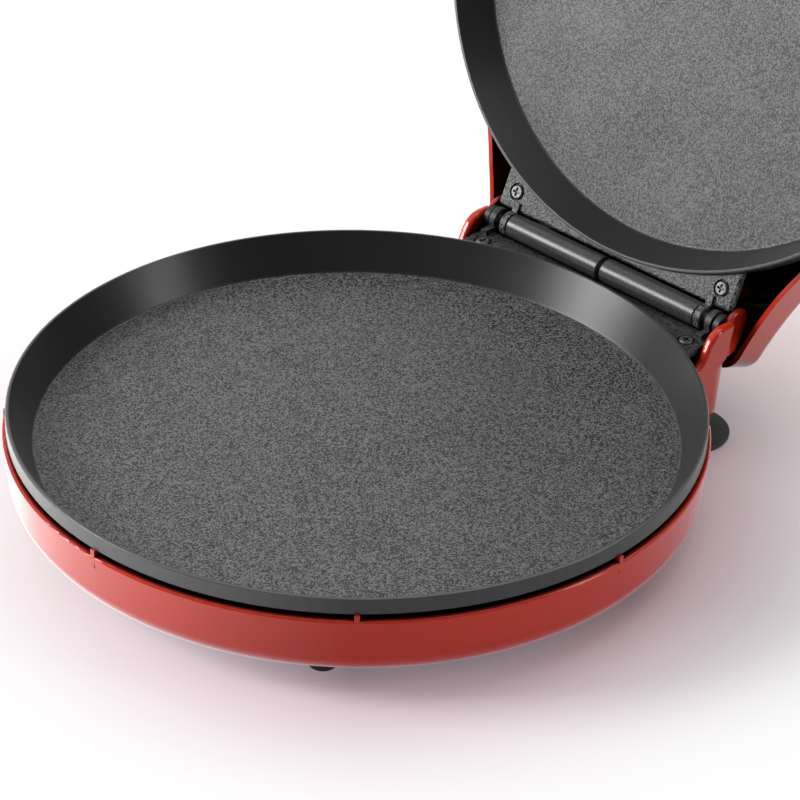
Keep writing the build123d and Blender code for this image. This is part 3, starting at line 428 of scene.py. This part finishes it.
LOOKS = {
    "red_plastic": glossy_red("glossy_red_plastic", 0.012, True),
    "black_tube": coated_tube(),
    "black_plastic": black_plastic(),
    "black_rubber": black_rubber(),
    "shaft_steel": turned_steel(),
    "dark_screw": screw_metal("blackened_screw", (0.10, 0.10, 0.105), (0.20, 0.20, 0.21), 0.34),
    "plated_screw": screw_metal("plated_screw", (0.46, 0.45, 0.42), (0.62, 0.61, 0.58), 0.24),
    "element_sheath": heat_dark_sheath(),
    "bright_sheet": rolled_sheet(),
    "control_metal": pressed_metal(),
    "terminal_plastic": natural_plastic(),
    "white_lead": braided_sleeve(),
    "black_lead": lead_jacket(),
    "red_lens": lens("red_lens", (0.65, 0.01, 0.01), (0.45, 0.005, 0.005)),
    "green_lens": lens("green_lens", (0.02, 0.42, 0.06), (0.01, 0.28, 0.04)),
    "lamp_board": lamp_board(),
}
OWN_LOOKS = {
    # The lower plate's flange is flecked less, so darker: partly grease, partly painted shade.
    "lower_plate": nonstick("nonstick_lower", False, 0.35),
    "upper_plate": nonstick("nonstick_upper", True, 1.0),
    "lid_housing": glossy_red("glossy_red_lid", 0.060, False),
}


def dress_nodes():
    """Every CAD node that stays gets its procedural finish."""
    slots = {part["node"]: part["material_slot"] for part in frame["record"]["subparts"]}
    for name, obj in frame["nodes"].items():
        material = OWN_LOOKS.get(name) or LOOKS[slots[name]]
        obj.data.materials.clear()
        obj.data.materials.append(material)


def flexible_lead():
    """The lead across the hinge, copied from its CAD node, which is then hidden; the copy does not bend as the lid
    closes.
    """
    solid = frame["nodes"]["hinge_lead"]
    lead = solid.copy()
    lead.data = solid.data.copy()
    lead.parent = None
    lead.matrix_world = solid.matrix_world
    lead.name = "flexible_hinge_lead"
    scene.collection.objects.link(lead)
    lead.data.materials.clear()
    lead.data.materials.append(LOOKS["black_lead"])
    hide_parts("hinge_lead")
    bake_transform(lead)


# Stage: floor, lamps, world and camera

def floor_glow(s, centred, reach):
    """The floor's glow and its share: towards white to the camera, with painted light, and its own levels in
    reflections, where it paints sheen on glossy parts.
    """
    leftward = s.along(centred, (-math.cos(AZIMUTH), -math.sin(AZIMUTH), 0))
    rightward = s.along(centred, (math.cos(AZIMUTH), math.sin(AZIMUTH), 0))
    away = s.along(centred, (-math.sin(AZIMUTH), math.cos(AZIMUTH), 0))
    frontward = s.along(centred, (math.sin(AZIMUTH), -math.cos(AZIMUTH), 0))
    bright = s.math("MAXIMUM", s.ramp(leftward, BRIGHT_LEFT), s.ramp(away, BRIGHT_BACK))

    path = s.node("ShaderNodeLightPath")
    to_camera = path.outputs["Is Camera Ray"]
    mirrored = path.outputs["Is Glossy Ray"]
    # Painted light: the glow lifts the floor's shade in front of the body, and grows away from it.
    lift = s.math("ADD", s.ramp(reach, SEEN_BY_REACH), s.ramp(frontward, SEEN_IN_FRONT))
    seen = s.math("MULTIPLY_ADD", bright, SEEN_BRIGHT, lift, clamp=True)
    share = s.math("MAXIMUM", s.math("MULTIPLY", to_camera, seen), mirrored)

    # Painted sheen: in reflections the floor glows brighter than white, most to the left and on the right.
    around = s.math("ADD", s.ramp(reach, GLOSS_BY_REACH), s.ramp(rightward, GLOSS_ON_RIGHT))
    in_gloss = s.math("MULTIPLY_ADD", bright, GLOSS_BRIGHT, around)
    strength = s.math("ADD", to_camera, s.math("MULTIPLY", mirrored, in_gloss))
    # Painted red bounce light: the glow is tinted pink close to the body.
    tint = s.mix(bright, s.ramp(reach, BOUNCE_GLOW_TINTS), (1.0, 1.0, 1.0))
    return s.node("ShaderNodeEmission", {"Color": tint, "Strength": strength}), share


def make_floor():
    """A pale table top that takes the shadow, with painted shadow and painted red bounce light close to the body,
    and a glow mixed in for the camera and reflections.
    """
    bpy.ops.mesh.primitive_plane_add(size=FLOOR_SIZE, location=(0, 0, 0))
    floor = bpy.context.object
    floor.name = "table_top"
    s = Shader("pale_table")
    centred = s.vector("SUBTRACT", s.coords, tuple(PLATE_CENTRE))
    reach = s.length(centred)
    # Painted shadow: the floor's colour is darker and pinker close to the body.
    s.set(color=s.ramp(reach, FLOOR_COLOURS), roughness=0.42, specular=0.35)
    glow, share = floor_glow(s, centred, reach)
    mixed = s.node("ShaderNodeMixShader", {0: share})
    s.tree.links.new(s.surface.outputs[0], mixed.inputs[1])
    s.tree.links.new(glow.outputs[0], mixed.inputs[2])
    s.tree.links.new(mixed.outputs[0], s.tree.nodes["Material Output"].inputs["Surface"])
    floor.data.materials.append(s.material)


def make_world():
    """A white room, brighter up on the left, and pure white where it is seen."""
    world = bpy.data.worlds.new("white_room")
    scene.world = world
    world.use_nodes = True
    tree = world.node_tree
    background = tree.nodes["Background"]
    background.inputs["Color"].default_value = (1, 1, 1, 1)

    def step(operation, a, b, c=0.0):
        made = tree.nodes.new("ShaderNodeMath")
        made.operation = operation
        for socket, source in zip(made.inputs, (a, b, c)):
            if isinstance(source, float):
                socket.default_value = source
            else:
                tree.links.new(source, socket)
        return made.outputs[0]

    toward = tree.nodes.new("ShaderNodeVectorMath")
    toward.operation = "DOT_PRODUCT"
    tree.links.new(tree.nodes.new("ShaderNodeTexCoord").outputs["Generated"], toward.inputs[0])
    toward.inputs[1].default_value = ROOM_BRIGHT_SIDE
    facing = step("MAXIMUM", toward.outputs["Value"], 0.0)
    level = step("MULTIPLY_ADD", facing, ROOM_RISE, ROOM_LOW)
    path = tree.nodes.new("ShaderNodeLightPath")
    seen = step("MAXIMUM", path.outputs["Is Camera Ray"], path.outputs["Is Transmission Ray"])
    tree.links.new(step("MAXIMUM", level, seen), background.inputs["Strength"])


def area_lamp(name, place, aim, size, power, colour=(1, 1, 1)):
    """A rectangular softbox at a place from the plate's centre, turned towards its aim."""
    data = bpy.data.lights.new(name, "AREA")
    data.shape = "RECTANGLE"
    data.size, data.size_y = size
    data.energy = power
    data.color = colour
    lamp = bpy.data.objects.new(name, data)
    scene.collection.objects.link(lamp)
    lamp.location = place + PLATE_CENTRE
    lamp.rotation_euler = (Vector(aim) - place).to_track_quat("-Z", "Y").to_euler()


def make_lamps():
    area_lamp("key_softbox", KEY_PLACE, (0, 0, 0.05), KEY_SIZE, KEY_POWER, KEY_COLOUR)
    area_lamp("top_softbox", TOP_PLACE, (0, 0.1, 0.1), TOP_SIZE, TOP_POWER)
    area_lamp("side_strip", STRIP_PLACE, (0.05, 0.15, 0.06), STRIP_SIZE, STRIP_POWER)


def make_camera():
    """The photograph's camera, looking down at the open machine from its front right."""
    back = Vector((math.sin(AZIMUTH) * math.cos(ELEVATION),
                   -math.cos(AZIMUTH) * math.cos(ELEVATION), math.sin(ELEVATION)))
    level = Vector((math.cos(AZIMUTH), math.sin(AZIMUTH), 0))
    upright = back.cross(level)
    right = level * math.cos(ROLL) + upright * math.sin(ROLL)
    up = upright * math.cos(ROLL) - level * math.sin(ROLL)
    aimed = PLATE_CENTRE + Vector((0, 0, LIP_HEIGHT))
    place = aimed + back * DISTANCE - right * OFFSET[0] - up * OFFSET[1]
    data = bpy.data.cameras.new("camera")
    data.sensor_width = SENSOR_MM
    data.lens = FOCAL_PX / FRAME_PX * SENSOR_MM
    data.shift_x = (FRAME_PX / 2 - CENTRE_PX[0]) / FRAME_PX
    data.shift_y = (CENTRE_PX[1] - FRAME_PX / 2) / FRAME_PX
    data.clip_end = 20.0
    camera = bpy.data.objects.new("camera", data)
    scene.collection.objects.link(camera)
    turn = Matrix((right, up, back)).transposed().to_4x4()
    camera.matrix_world = Matrix.Translation(place) @ turn
    scene.camera = camera


scene.view_settings.view_transform = "Standard"
dress_nodes()
flexible_lead()
make_floor()
make_world()
make_lamps()
make_camera()

bpy.context.view_layer.update()
